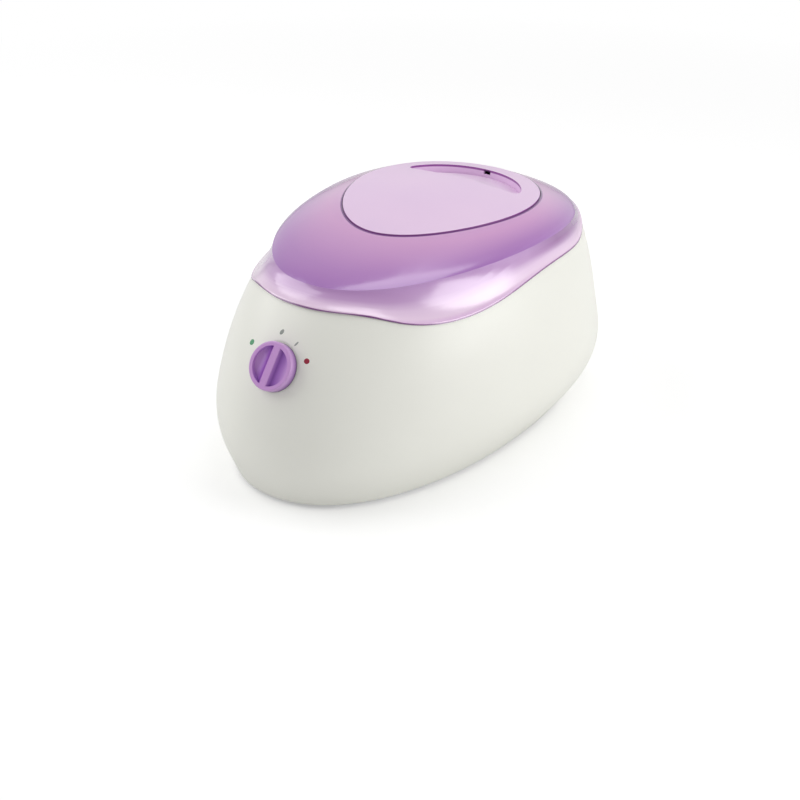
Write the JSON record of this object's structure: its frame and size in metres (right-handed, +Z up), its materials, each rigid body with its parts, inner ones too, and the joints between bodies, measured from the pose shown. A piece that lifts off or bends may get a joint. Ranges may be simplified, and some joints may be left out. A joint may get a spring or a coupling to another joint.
{
  "type": "salon wax bath",
  "caption": "Egg-shaped heated wax bath: moulded housing with a wavy rim, lift-off domed lid with a finger recess, heated basin, lift-out grille and a front heat knob.",
  "frame": {"origin": "on the surface it stands on, under the middle of the housing's length and width", "axes": "+Z up, the front with the heat knob faces -Y, the mains inlet faces +Y, +X to the right seen from the front"},
  "size_m": [0.2744, 0.3902, 0.1825],
  "materials": {
    "white_housing": "glossy",
    "purple_lid": "glossy, slightly translucent",
    "pale_panel": "satin",
    "purple_knob": "satin",
    "basin_metal": "satin",
    "seal_silicone": "matte",
    "screw_steel": "zinc plated",
    "shield_steel": "satin",
    "heater_silicone": "matte",
    "felt": "soft",
    "grille_plastic": "matte",
    "copper": "satin",
    "spring_steel": "satin",
    "fuse_body": "satin",
    "stat_body": "matte",
    "tag_brass": "satin",
    "base_plastic": "matte",
    "foot_rubber": "matte",
    "inlet_plastic": "matte",
    "block_plastic": "matte",
    "inlet_wire": "matte",
    "stat_wire": "matte",
    "heater_wire": "matte"
  },
  "bodies": {
    "housing": {"outer_housing": "white_housing", "base_plate": "base_plastic", "rubber_feet": "foot_rubber", "base_screws": "screw_steel", "wax_tank": "basin_metal", "tank_seal": "seal_silicone", "tank_screws": "screw_steel", "heating_mat": "heater_silicone", "felt_pad": "felt", "heat_shield": "shield_steel", "shield_nuts": "screw_steel", "sensor_bulb": "copper", "bulb_clip": "spring_steel", "capillary_tube": "copper", "thermal_fuse": "fuse_body", "fuse_clip": "spring_steel", "thermostat_body": "stat_body", "thermostat_tags": "tag_brass", "thermostat_nut": "screw_steel", "power_inlet": "inlet_plastic", "inlet_pins": "tag_brass", "inlet_screws": "screw_steel", "terminal_block": "block_plastic", "block_screws": "screw_steel", "inlet_leads": "inlet_wire", "thermostat_leads": "stat_wire", "heater_leads": "heater_wire"},
    "lid": {"lid_shell": "purple_lid", "lid_panel": "pale_panel"},
    "knob": {"control_knob": "purple_knob", "thermostat_shaft": "screw_steel"},
    "grille": {"protective_grille": "grille_plastic"}
  },
  "joints": [
    {"name": "lid_lift", "type": "slide", "parent": "housing", "child": "lid", "axis": [0, 0, 1], "range_m": [0, 0.15]},
    {"name": "knob_turn", "type": "hinge", "parent": "housing", "child": "knob", "pos_m": [0, -0.17095, 0.11247], "axis": [0, -0.8499, 0.5269], "range_deg": [-63, 73]},
    {"name": "grille_lift", "type": "slide", "parent": "housing", "child": "grille", "axis": [0, 0, 1], "range_m": [0, 0.08]}
  ]
}
